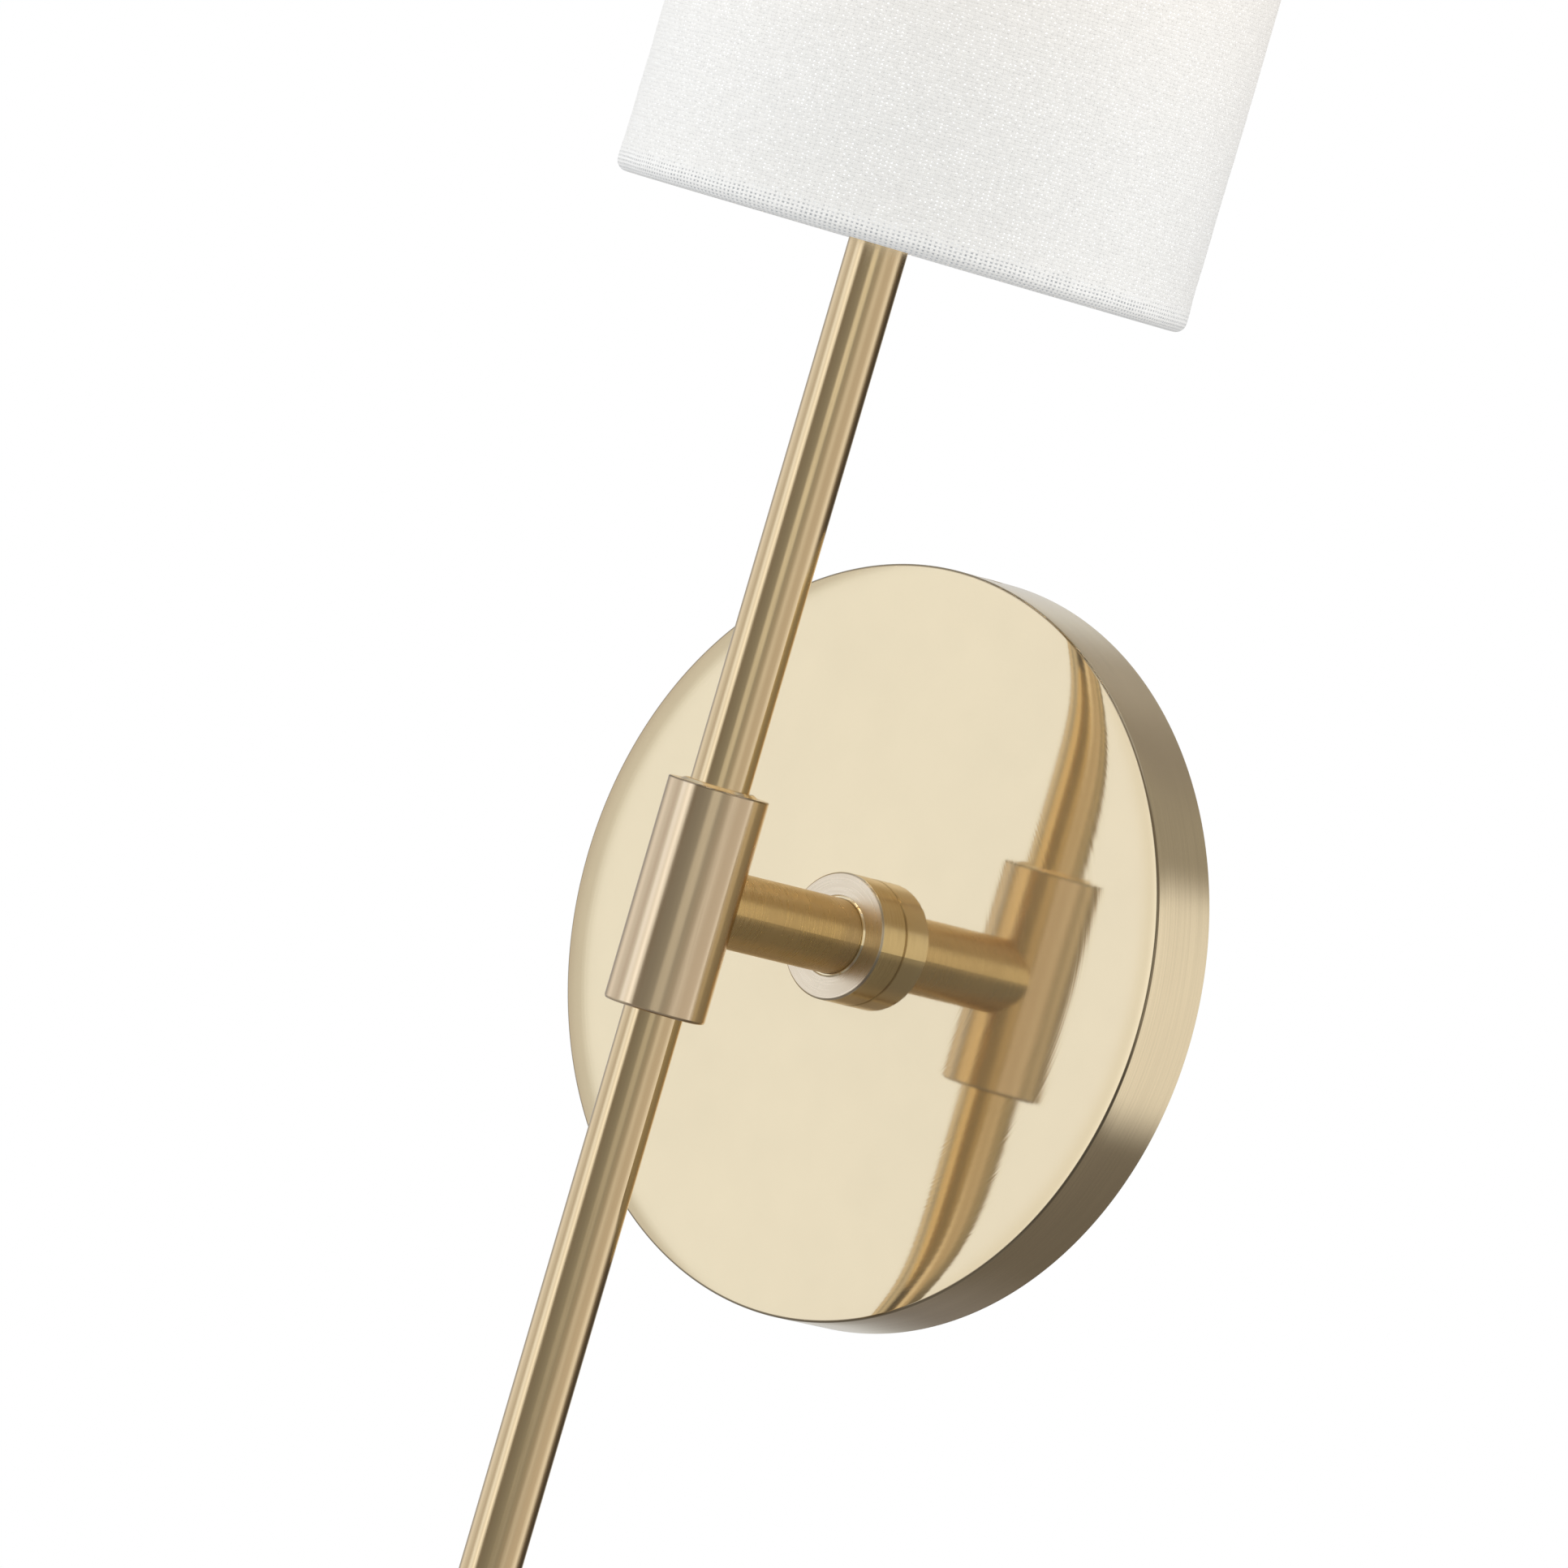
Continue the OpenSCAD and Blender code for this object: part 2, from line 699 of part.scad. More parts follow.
backplate();
mounting_bracket();
ground_screw();
set_screws();
nipple();
lock_nut();
lock_washer();
hub_base();
stop_pin();
collar();
bearing_ring();
friction_washer();
spring_washer();
arm_tube();
sleeve();
upper_end_ring();
lower_end_ring();
upper_bush();
lower_bush();
wire_ferrule();
friction_screw();
arm_leads();
guide_bush();
stem();
stem_end_cap();
socket_cup();
stem_nut();
lamp_holder();
screw_shell();
centre_contact();
shade_ring();
stem_leads();
shade_fabric();
shade_liner();
shade_frame();
top_ring();
bulb_glass();
bulb_base();
bulb_insulator();
bulb_contact();
filament_mount();
filament_wires();
filaments();
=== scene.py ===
import json
import math

import bmesh
import bpy
from mathutils import Matrix, Quaternion, Vector, noise


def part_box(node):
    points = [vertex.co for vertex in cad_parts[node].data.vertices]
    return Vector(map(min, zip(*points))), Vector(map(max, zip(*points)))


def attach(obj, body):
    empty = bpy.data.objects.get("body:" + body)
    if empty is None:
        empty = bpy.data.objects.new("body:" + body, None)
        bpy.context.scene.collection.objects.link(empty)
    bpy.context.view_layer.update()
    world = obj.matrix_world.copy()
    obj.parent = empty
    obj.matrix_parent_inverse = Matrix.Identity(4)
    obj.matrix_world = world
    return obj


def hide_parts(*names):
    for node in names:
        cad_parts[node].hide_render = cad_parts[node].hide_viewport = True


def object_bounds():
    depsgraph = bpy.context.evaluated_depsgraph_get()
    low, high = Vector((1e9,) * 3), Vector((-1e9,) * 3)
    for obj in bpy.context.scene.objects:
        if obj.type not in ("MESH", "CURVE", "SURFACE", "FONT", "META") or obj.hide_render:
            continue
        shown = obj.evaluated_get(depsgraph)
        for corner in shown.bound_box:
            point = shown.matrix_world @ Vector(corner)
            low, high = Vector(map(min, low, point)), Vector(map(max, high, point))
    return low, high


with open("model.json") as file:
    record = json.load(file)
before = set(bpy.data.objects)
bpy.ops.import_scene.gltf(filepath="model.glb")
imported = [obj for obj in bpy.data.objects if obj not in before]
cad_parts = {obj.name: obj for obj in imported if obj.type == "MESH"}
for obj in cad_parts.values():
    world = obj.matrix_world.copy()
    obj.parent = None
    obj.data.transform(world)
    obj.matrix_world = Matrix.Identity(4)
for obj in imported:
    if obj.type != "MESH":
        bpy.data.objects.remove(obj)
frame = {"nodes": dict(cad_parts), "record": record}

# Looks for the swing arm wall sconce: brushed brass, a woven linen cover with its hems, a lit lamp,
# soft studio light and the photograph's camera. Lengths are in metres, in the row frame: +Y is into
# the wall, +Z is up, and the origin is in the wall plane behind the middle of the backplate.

MM = 0.001
TAU = 2 * math.pi
SCENE = bpy.context.scene
NODES = frame["nodes"]
CAD_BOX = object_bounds()

# ---- places and sizes, from the frame -----------------------------------------------------------

PLATE_LOW, PLATE_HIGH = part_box("backplate")
PLATE_R = (PLATE_HIGH.x - PLATE_LOW.x) / 2
FACE_H = PLATE_HIGH.y - PLATE_LOW.y
COVER_LOW, COVER_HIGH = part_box("shade_fabric")
COVER_R = (COVER_HIGH.x - COVER_LOW.x) / 2
SHADE_AXIS = Vector((0, (COVER_LOW.y + COVER_HIGH.y) / 2, 0))
LINER_LOW, LINER_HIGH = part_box("shade_liner")
LINER_R = (LINER_HIGH.x - LINER_LOW.x) / 2
STEM_LOW, STEM_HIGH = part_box("stem")
STEM_AXIS = Vector((0, (STEM_LOW.y + STEM_HIGH.y) / 2, 0))
STEM_R = STEM_HIGH.x
BULB_LOW, BULB_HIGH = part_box("bulb_glass")
BULB_R = (BULB_HIGH.x - BULB_LOW.x) / 2
WALL_AXIS = Vector((0, 0, 0))


# ---- mesh helpers -------------------------------------------------------------------------------

def new_object(name, mesh, body):
    """Puts a mesh in the scene as a piece that rides on a CAD body."""
    piece = bpy.data.objects.new(name, mesh)
    SCENE.collection.objects.link(piece)
    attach(piece, body)
    return piece


def smooth(mesh, sharp_degrees=30):
    """Smooth shading, with edges sharper than the angle kept crisp."""
    mesh.polygons.foreach_set("use_smooth", [True] * len(mesh.polygons))
    mesh.set_sharp_from_angle(angle=math.radians(sharp_degrees))


def turned(name, profile, steps, to_frame):
    """A turned solid: a closed profile of (radius, height) points, swung round the local Z axis."""
    bm = bmesh.new()
    rings = []
    for r, h in profile:
        if r < 1e-9:
            rings.append([bm.verts.new((0, 0, h))] * steps)
            continue
        turns = (TAU * i / steps for i in range(steps))
        rings.append([bm.verts.new((r * math.cos(t), r * math.sin(t), h)) for t in turns])
    for a, b in zip(rings, rings[1:] + rings[:1]):
        for i in range(steps):
            j = (i + 1) % steps
            corners = list(dict.fromkeys((a[i], a[j], b[j], b[i])))
            if len(corners) > 2:
                bm.faces.new(corners)
    bmesh.ops.recalc_face_normals(bm, faces=bm.faces)
    bm.transform(to_frame)
    mesh = bpy.data.meshes.new(name)
    bm.to_mesh(mesh)
    bm.free()
    return mesh


def arc(centre, radius, start, end, steps):
    """Points of a round stretch of a profile, angles in degrees."""
    turns = (math.radians(start + (end - start) * i / steps) for i in range(steps + 1))
    return [(centre[0] + radius * math.cos(t), centre[1] + radius * math.sin(t)) for t in turns]


OFF_WALL = Matrix.Rotation(math.radians(90), 4, "X")   # turns local +Z out of the wall


# ---- shader helpers -----------------------------------------------------------------------------

class Graph:
    """A node tree. Each call adds a node and returns its first output."""

    def __init__(self, tree):
        self.tree = tree

    def node(self, kind, *inputs, **settings):
        n = self.tree.nodes.new(kind)
        for key, value in settings.items():
            setattr(n, key, value)
        for socket, value in zip(n.inputs, inputs):
            self.feed(socket, value)
        return n

    def feed(self, socket, value):
        if isinstance(value, bpy.types.NodeSocket):
            self.tree.links.new(value, socket)
        elif value is not None:
            socket.default_value = value

    def math(self, operation, *values, clamp=False):
        return self.node("ShaderNodeMath", *values, operation=operation, use_clamp=clamp).outputs[0]

    def vector(self, operation, *values):
        return self.node("ShaderNodeVectorMath", *values, operation=operation).outputs[0]

    def ramp(self, value, low, high, to_low=0.0, to_high=1.0):
        return self.node("ShaderNodeMapRange", value, low, high, to_low, to_high,
                         interpolation_type="SMOOTHSTEP").outputs[0]

    def mix(self, share, a, b):
        n = self.node("ShaderNodeMix", share, data_type="RGBA")
        for socket, value in ((n.inputs[6], a), (n.inputs[7], b)):   # the two colour sockets
            self.feed(socket, (*value, 1) if isinstance(value, tuple) else value)
        return n.outputs[2]


class Paint(Graph):
    """A material, with the sockets of its shader."""

    def __init__(self, name, colour, roughness, **sockets):
        self.material = bpy.data.materials.new(name)
        self.material.use_nodes = True
        super().__init__(self.material.node_tree)
        self.bsdf = self.tree.nodes["Principled BSDF"]
        sockets.update(Base_Color=(*colour, 1), Roughness=roughness)
        for socket, value in sockets.items():
            self.bsdf.inputs[socket.replace("_", " ")].default_value = value

    def place(self):
        return self.node("ShaderNodeTexCoord").outputs["Object"]

    def noise(self, vector, scale, detail=2.0):
        n = self.node("ShaderNodeTexNoise", vector)
        n.inputs["Scale"].default_value = scale
        n.inputs["Detail"].default_value = detail
        return n.outputs["Fac"]

    def bump(self, height, distance):
        n = self.node("ShaderNodeBump")
        n.inputs["Strength"].default_value = 1.0
        n.inputs["Distance"].default_value = distance
        self.feed(n.inputs["Height"], height)
        self.feed(self.bsdf.inputs["Normal"], n.outputs[0])


GROOVE = 0.3 * MM                      # width of the brushing's grooves
DRAWN_STRETCH = 0.03                   # share that length along a drawn tube counts, so grooves run long
# A painted dark line along edges: painted reflection on outer edges, painted shade in the joints between
# parts.
PAINTED_EDGE_SHADE = (0.15, 0.12, 0.09)
PAINTED_EDGE_SHADE_WIDTH = (0.10 * MM, 0.38 * MM) # full, and faded out, on each side of an edge


def turned_parts(paint, centre, axis):
    """(radius, distance along the axis, turn in radians) of a point on a turned piece."""
    place = paint.vector("SUBTRACT", paint.place(), tuple(centre))
    parts = paint.node("ShaderNodeSeparateXYZ", place).outputs
    across, along = ((parts[0], parts[1]), parts[2]) if axis == "Z" else ((parts[0], parts[2]), parts[1])
    square = paint.math("ADD", *(paint.math("MULTIPLY", p, p) for p in across))
    return paint.math("SQRT", square), along, paint.math("ARCTAN2", *across)


def brass(name, colour, roughness, centre, axis, depth=0.004, blotch=0.06, drawn_r=None,
          edges=(), face=None, rim_r=None, **sockets):
    """Brushed and lacquered brass. Its grooves, depth in mm, run round the axis, or along it on a
    drawn tube of radius drawn_r. edges are circles (radius, along) with a painted dark line: a painted
    reflection along an outer edge, and painted shade in the joint where two parts meet. face is (along,
    colour) of a front face with a paler tone of its own, a painted reflection, and from rim_r outwards
    the brushing is coarse."""
    sockets = {"Metallic": 1.0, "Specular_Tint": (0.85, 0.77, 0.66, 1)} | sockets
    paint = Paint(name, colour, roughness, **sockets)
    radius, along, turn = turned_parts(paint, centre, axis)
    if drawn_r:
        place = paint.node("ShaderNodeCombineXYZ", paint.math("MULTIPLY", turn, drawn_r),
                           paint.math("MULTIPLY", along, DRAWN_STRETCH)).outputs[0]
    else:
        place = paint.node("ShaderNodeCombineXYZ", radius, along,
                           paint.math("MULTIPLY", turn, 0.4 * MM)).outputs[0]
        tangent = paint.node("ShaderNodeTangent", direction_type="RADIAL", axis=axis).outputs[0]
        paint.feed(paint.bsdf.inputs["Tangent"], tangent)
        paint.bsdf.inputs["Anisotropic"].default_value = 0.45
        paint.bsdf.inputs["Anisotropic Rotation"].default_value = 0.25
    fine = paint.noise(place, 1 / GROOVE, 3)
    coarse = paint.noise(paint.place(), 1 / (9 * MM), 3)
    dark = tuple(c * (1 - blotch) for c in colour)
    tone = paint.mix(coarse, dark, colour)
    rough = paint.math("ADD", paint.ramp(fine, 0.3, 0.7, 0.8 * roughness, 1.2 * roughness),
                       paint.ramp(coarse, 0.35, 0.65, 0, 0.15 * roughness))
    # The front face's paler, pinker tone is a painted reflection.
    if face:
        on_face = paint.ramp(along, face[0] + 0.1 * MM, face[0] + 0.3 * MM, 1.0, 0.0)
        tone = paint.mix(on_face, tone, face[1])
        rough = paint.math("ADD", rough, paint.math("MULTIPLY", on_face, 0.08))
    if rim_r:
        on_rim = paint.ramp(radius, rim_r, rim_r + 0.2 * MM)
        streaks = paint.ramp(fine, 0.35, 0.65, 0, 0.14)
        tone = paint.mix(paint.math("MULTIPLY", on_rim, streaks), tone, tuple(0.55 * c for c in colour))
        rough = paint.math("ADD", rough, paint.math("MULTIPLY", on_rim, 0.10))
    flat = paint.node("ShaderNodeCombineXYZ", radius, along).outputs[0]
    # Each edge circle gets a painted dark line: painted reflection on an outer edge, painted shade where two
    # parts meet.
    for circle in edges:
        away = paint.node("ShaderNodeVectorMath", flat, (*circle, 0), operation="DISTANCE").outputs["Value"]
        tone = paint.mix(paint.ramp(away, *PAINTED_EDGE_SHADE_WIDTH, 0.75, 0.0), tone, PAINTED_EDGE_SHADE)
    paint.feed(paint.bsdf.inputs["Base Color"], tone)
    paint.feed(paint.bsdf.inputs["Roughness"], rough)
    paint.bump(fine, depth * MM)
    return paint.material


def moulded(name, colour, roughness, grain=0.25, depth=0.01, **sockets):
    """Moulded, dipped or plated surfaces: patches in colour, fine speckle in gloss and relief. grain
    is the speckle's size and depth its height, in mm."""
    paint = Paint(name, colour, roughness, **sockets)
    fine = paint.noise(paint.place(), 1 / (grain * MM), 3)
    coarse = paint.noise(paint.place(), 1 / (6 * MM), 2)
    dark = tuple(0.9 * c for c in colour)
    paint.feed(paint.bsdf.inputs["Base Color"], paint.mix(coarse, dark, colour))
    rough = paint.ramp(fine, 0.3, 0.7, 0.85 * roughness, 1.15 * roughness)
    paint.feed(paint.bsdf.inputs["Roughness"], rough)
    paint.bump(fine, depth * MM)
    return paint.material


# ---- camera -------------------------------------------------------------------------------------

CAMERA_AZIMUTH = math.radians(41.3)
CAMERA_ELEVATION = math.radians(2.3)
CAMERA_ROLL = math.radians(16.36)      # the photograph is tilted, and the stem is upright
CAMERA_DISTANCE = 2.5
CAMERA_LENS = 367.5
SENSOR_WIDTH = 36
CAMERA_TURNS_ABOUT = Vector((0, -30 * MM, 0))
PICTURE_MIDDLE = Vector((-5.6 * MM, -33.9 * MM, 20.9 * MM))


def away_from_middle(azimuth, elevation):
    """The direction out to a camera or a lamp, from angles in radians."""
    return Vector((math.sin(azimuth) * math.cos(elevation), -math.cos(azimuth) * math.cos(elevation),
                   math.sin(elevation)))


def add_camera():
    data = bpy.data.cameras.new("camera")
    data.lens, data.sensor_width = CAMERA_LENS, SENSOR_WIDTH
    camera = bpy.data.objects.new("camera", data)
    back = away_from_middle(CAMERA_AZIMUTH, CAMERA_ELEVATION)
    camera.location = CAMERA_TURNS_ABOUT + CAMERA_DISTANCE * back
    camera.rotation_mode = "QUATERNION"
    looks = (PICTURE_MIDDLE - camera.location).to_track_quat("-Z", "Y")
    camera.rotation_quaternion = looks @ Quaternion((0, 0, 1), CAMERA_ROLL)
    SCENE.collection.objects.link(camera)
    SCENE.camera = camera


# ---- light --------------------------------------------------------------------------------------

# The studio as brass mirrors it, in three rings round the object: (degrees right of the camera, colour).
LEVEL = [
    (-180, (0.70, 0.70, 0.70)), (-157, (0.42, 0.44, 0.48)), (-131, (0.86, 0.85, 0.85)),
    (-112, (0.68, 0.66, 0.63)), (-98, (0.58, 0.54, 0.50)), (-89, (0.68, 0.66, 0.62)),
    (-85, (0.98, 1.00, 1.02)), (-79, (0.97, 0.98, 1.00)), (-72, (0.90, 0.88, 0.84)),
    (-64, (1.20, 1.20, 1.18)), (-58, (0.85, 0.83, 0.79)), (-51, (0.22, 0.19, 0.15)),
    (-34, (0.25, 0.23, 0.19)), (-14, (0.30, 0.28, 0.23)), (8, (0.34, 0.32, 0.27)),
    (24, (0.40, 0.36, 0.29)), (42, (0.69, 0.64, 0.56)), (60, (0.56, 0.50, 0.42)),
    (76, (0.58, 0.52, 0.44)), (90, (0.92, 0.88, 0.82)), (106, (0.84, 0.80, 0.74)),
    (115, (0.16, 0.13, 0.10)), (135, (0.07, 0.06, 0.05)), (151, (0.09, 0.08, 0.07)),
    (165, (0.50, 0.50, 0.50)), (180, (0.70, 0.70, 0.70)),
]
HIGH = [
    (-180, (0.60, 0.60, 0.60)), (-120, (0.70, 0.68, 0.64)), (-85, (0.60, 0.56, 0.50)),
    (-60, (0.42, 0.34, 0.22)), (-15, (0.37, 0.30, 0.20)), (60, (0.40, 0.35, 0.28)),
    (115, (0.28, 0.25, 0.20)), (135, (0.23, 0.20, 0.17)), (160, (0.35, 0.32, 0.29)),
    (180, (0.60, 0.60, 0.60)),
]
LOW = [
    (-180, (0.45, 0.45, 0.45)), (-100, (0.50, 0.49, 0.46)), (-70, (0.28, 0.25, 0.23)),
    (-36, (0.26, 0.22, 0.17)), (-8, (0.16, 0.13, 0.12)), (60, (0.25, 0.22, 0.18)),
    (115, (0.13, 0.11, 0.09)), (135, (0.13, 0.11, 0.09)), (165, (0.22, 0.20, 0.19)),
    (180, (0.45, 0.45, 0.45)),
]
CEILING = (0.90, 0.88, 0.84)
GROUND = (0.32, 0.30, 0.27)
LAMP_BOX = (0.84, 0.79, 0.66)          # a warm soft box over the camera
DARK_FRONT = (0.17, 0.16, 0.14)        # an unlit table under it


def add_world():
    """The studio's three rings. The camera itself sees a plain white backdrop."""
    world = bpy.data.worlds.new("studio")
    SCENE.world = world
    world.use_nodes = True
    world.node_tree.nodes.clear()
    graph = Graph(world.node_tree)
    direction = graph.node("ShaderNodeTexCoord").outputs["Generated"]
    turn = graph.node("ShaderNodeMapping", direction)
    turn.inputs["Rotation"].default_value = (0, 0, math.radians(90) - CAMERA_AZIMUTH)
    round_about = graph.node("ShaderNodeTexGradient", turn.outputs[0], gradient_type="RADIAL").outputs["Fac"]
    degrees = graph.math("MULTIPLY_ADD", round_about, 360.0, -180.0)
    slope = graph.math("ARCSINE", graph.node("ShaderNodeSeparateXYZ", direction).outputs["Z"])
    height = graph.math("MULTIPLY", slope, math.degrees(1))

    def ring(stops):
        panels = graph.node("ShaderNodeValToRGB", round_about)
        ramp = panels.color_ramp
        ramp.interpolation = "EASE"
        while len(ramp.elements) < len(stops):
            ramp.elements.new(0.5)
        for element, (azimuth, colour) in zip(ramp.elements, stops):
            element.position = azimuth / 360 + 0.5
            element.color = (*colour, 1)
        return panels.outputs[0]

    def front(low, high, half_width, soft):
        """A soft-edged window in front of the object, from one height to another."""
        rise = graph.ramp(height, low - soft, low + soft)
        fall = graph.ramp(height, high - soft, high + soft, 1.0, 0.0)
        aside = graph.math("ABSOLUTE", degrees)
        beside = graph.ramp(aside, half_width - 2 * soft, half_width + 2 * soft, 1.0, 0.0)
        return graph.math("MULTIPLY", graph.math("MULTIPLY", rise, fall), beside)

    sky = graph.mix(graph.ramp(height, 22, 31), ring(LEVEL), ring(HIGH))
    sky = graph.mix(graph.ramp(height, -25, -14), ring(LOW), sky)
    sky = graph.mix(graph.ramp(height, 48, 62), sky, CEILING)
    sky = graph.mix(graph.ramp(height, -62, -48), GROUND, sky)
    sky = graph.mix(front(-40, -7, 55, 4), sky, DARK_FRONT)
    sky = graph.mix(front(-2.2, 28, 10, 2), sky, LAMP_BOX)
    lit = graph.node("ShaderNodeBackground", sky).outputs[0]
    backdrop = graph.node("ShaderNodeBackground", (1, 1, 1, 1)).outputs[0]
    seen = graph.node("ShaderNodeLightPath").outputs["Is Camera Ray"]
    graph.node("ShaderNodeOutputWorld", graph.node("ShaderNodeMixShader", seen, lit, backdrop).outputs[0])


FILL_SIZE = 1.2
FILL_DISTANCE = 2.0
FILL_COLOUR = (0.95, 0.975, 1.0)


def add_fill(name, azimuth, elevation, power):
    """A big soft lamp for cloth and plastic, so many degrees right of the camera. It isn't mirrored in
    the brass."""
    data = bpy.data.lights.new(name, "AREA")
    data.shape, data.size, data.energy = "SQUARE", FILL_SIZE, power
    data.color = FILL_COLOUR
    lamp = bpy.data.objects.new(name, data)
    away = away_from_middle(CAMERA_AZIMUTH + math.radians(azimuth), math.radians(elevation))
    lamp.location = away * FILL_DISTANCE
    lamp.rotation_euler = (-away).to_track_quat("-Z", "Y").to_euler()
    lamp.visible_camera = False
    lamp.visible_glossy = False
    SCENE.collection.objects.link(lamp)


FLOOR_R = 3.2                          # small enough to stay below the camera's picture
FLOOR_DROP = 0.35                      # how far it lies below the part


def add_floor():
    """A plain pale floor, well below the part, which fades into the white backdrop. It throws no
    light of its own on the part."""
    bm = bmesh.new()
    bmesh.ops.create_circle(bm, cap_ends=True, segments=96, radius=FLOOR_R)
    mesh = bpy.data.meshes.new("floor")
    bm.to_mesh(mesh)
    bm.free()
    floor = bpy.data.objects.new("floor", mesh)
    floor.location = (0, 0, CAD_BOX[0].z - FLOOR_DROP)
    SCENE.collection.objects.link(floor)
    paint = Paint("floor_paint", (0.86, 0.86, 0.85), 0.6, Emission_Color=(1, 1, 1, 1))
    radius = paint.node("ShaderNodeVectorMath", paint.place(), operation="LENGTH").outputs["Value"]
    paint.feed(paint.bsdf.inputs["Emission Strength"], paint.ramp(radius, 0.2, FLOOR_R, 0.22, 1.0))
    paint.bump(paint.noise(paint.place(), 300), 0.2 * MM)
    mesh.materials.append(paint.material)
    floor.visible_glossy = False
    floor.visible_diffuse = False


# ---- backplate ----------------------------------------------------------------------------------

PLATE_SHEET = 1.2 * MM
PLATE_CROWN = 0.4 * MM
PLATE_CROWN_POWER = 22                 # flat, and falling away only close to the edge
PLATE_EDGE_R = 0.4 * MM
PLATE_HOLE_R = 5 * MM
SCREW_HOLE_R = 2.02 * MM
SCREW_HOLE_H = 7 * MM
PLATE_STEPS = 288


def crown_at(r):
    """Height of the spun face above the wall."""
    return FACE_H - PLATE_CROWN * (r / PLATE_R) ** PLATE_CROWN_POWER


def crown_points(start, end, drop, steps):
    """Points of the face from one radius to another, closer together towards the end."""
    shares = [math.sin(math.radians(90 * i / steps)) for i in range(steps + 1)]
    return [(start + (end - start) * s, crown_at(start + (end - start) * s) - drop) for s in shares]


def make_backplate():
    """The spun dish, with the holes for its two set screws drilled through the rim."""
    top_r = PLATE_R - PLATE_EDGE_R
    corner = (top_r, crown_at(top_r) - PLATE_EDGE_R)
    inner_r = PLATE_R - PLATE_SHEET
    profile = crown_points(PLATE_HOLE_R, top_r, 0, 40)
    profile += arc(corner, PLATE_EDGE_R, 75, 0, 6)
    profile += [(PLATE_R, corner[1] * s) for s in (0.75, 0.5, 0.25)]
    profile += [(PLATE_R, 0.15 * MM), (PLATE_R - 0.15 * MM, 0), (inner_r, 0)]
    profile += reversed(crown_points(PLATE_HOLE_R, inner_r, PLATE_SHEET, 12))
    mesh = turned("backplate", profile, PLATE_STEPS, OFF_WALL)
    plate = new_object("spun_backplate", mesh, "wall_side")
    rod = [(0, -PLATE_R), (SCREW_HOLE_R, -PLATE_R), (SCREW_HOLE_R, PLATE_R), (0, PLATE_R)]
    drill_mesh = turned("drill", rod, 32, Matrix.Translation((0, -SCREW_HOLE_H, 0)))
    drill_mesh.transform(Matrix.Scale(1.1, 4, (0, 0, 1)))   # so that it comes out past the rim
    drill = bpy.data.objects.new("drill", drill_mesh)
    SCENE.collection.objects.link(drill)
    cut = plate.modifiers.new("screw_holes", "BOOLEAN")
    cut.object, cut.solver = drill, "EXACT"
    bpy.context.view_layer.update()
    evaluated = plate.evaluated_get(bpy.context.evaluated_depsgraph_get())
    plate.data = bpy.data.meshes.new_from_object(evaluated)
    plate.modifiers.clear()
    bpy.data.objects.remove(drill)
    smooth(plate.data)
    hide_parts("backplate")
    return plate


# ---- linen cover --------------------------------------------------------------------------------

COVER_H = COVER_HIGH.z - COVER_LOW.z
COVER_ROWS = 86                        # rows of faces up the drum
CLOTH_T = 0.6 * MM
EDGE_R = 1.8 * MM                      # outer fold round the ring wire
CURL_R = 1.5 * MM                      # inner fold, where the hem turns up
HEM_DEPTH = 3.9 * MM                   # from the outside to the inside of the turned-in hem
HEM_IN_R = COVER_R - HEM_DEPTH
HEM_H = 6 * MM
HEM_BAND = 4.6 * MM                    # outside, the cloth is a little fuller over the hem
HEM_FULLNESS = 0.10 * MM
SPOKE_TURNS = (90, 210, 330)
SPOKE_NOTCH = 2.6 * MM
SPOKE_DIP_H = 1.7 * MM                 # height of the hem where a spoke passes
SPOKE_EASE = 1.2 * MM                  # and how far beside it the hem is at its full height again
SEAM_TURN = 75                         # the upright seam is at the back
SEAM_OVERLAP = 8 * MM
SEAM_START = -0.12 * MM
SEAM_LIFT = 0.38 * MM
SEAM_EASE = 3 * MM
THREADS_ROUND = 350
WEFT_PITCH = 0.61 * MM
WARP_HALF = (0.35, 0.48)               # thinnest and thickest half width, as shares of the pitch
WEFT_HALF = (0.35, 0.49)


def cover_turns():
    """Angles of the cover's upright rows, with closer ones at the step of its seam."""
    turns = [TAU * i / THREADS_ROUND for i in range(THREADS_ROUND)]
    seam = math.radians(SEAM_TURN)
    turns += [seam + s / COVER_R for s in (-0.30 * MM, SEAM_START, 0.05 * MM)]
    return sorted(turns)


def seam_lift(turn):
    """How far the cloth stands out where one end lies on the other."""
    past = (turn - math.radians(SEAM_TURN)) * COVER_R
    end = SEAM_OVERLAP + SEAM_EASE
    if past < SEAM_START or past > end:
        return 0.0
    return SEAM_LIFT * min(1.0, (end - past) / SEAM_EASE)


def hem_height(turn):
    """The lower hem dips inside where a spoke passes it."""
    nearest = min(abs((math.degrees(turn) - s + 180) % 360 - 180) for s in SPOKE_TURNS)
    gap = math.radians(nearest) * HEM_IN_R
    rise = min(1.0, max(0.0, (gap - SPOKE_NOTCH / 2) / SPOKE_EASE))
    return SPOKE_DIP_H + (HEM_H - SPOKE_DIP_H) * rise


def ripple(place):
    """How far the stretched cloth wanders in and out."""
    return (0.10 * noise.noise(place / (14 * MM)) + 0.05 * noise.noise(place / (4 * MM))) * MM


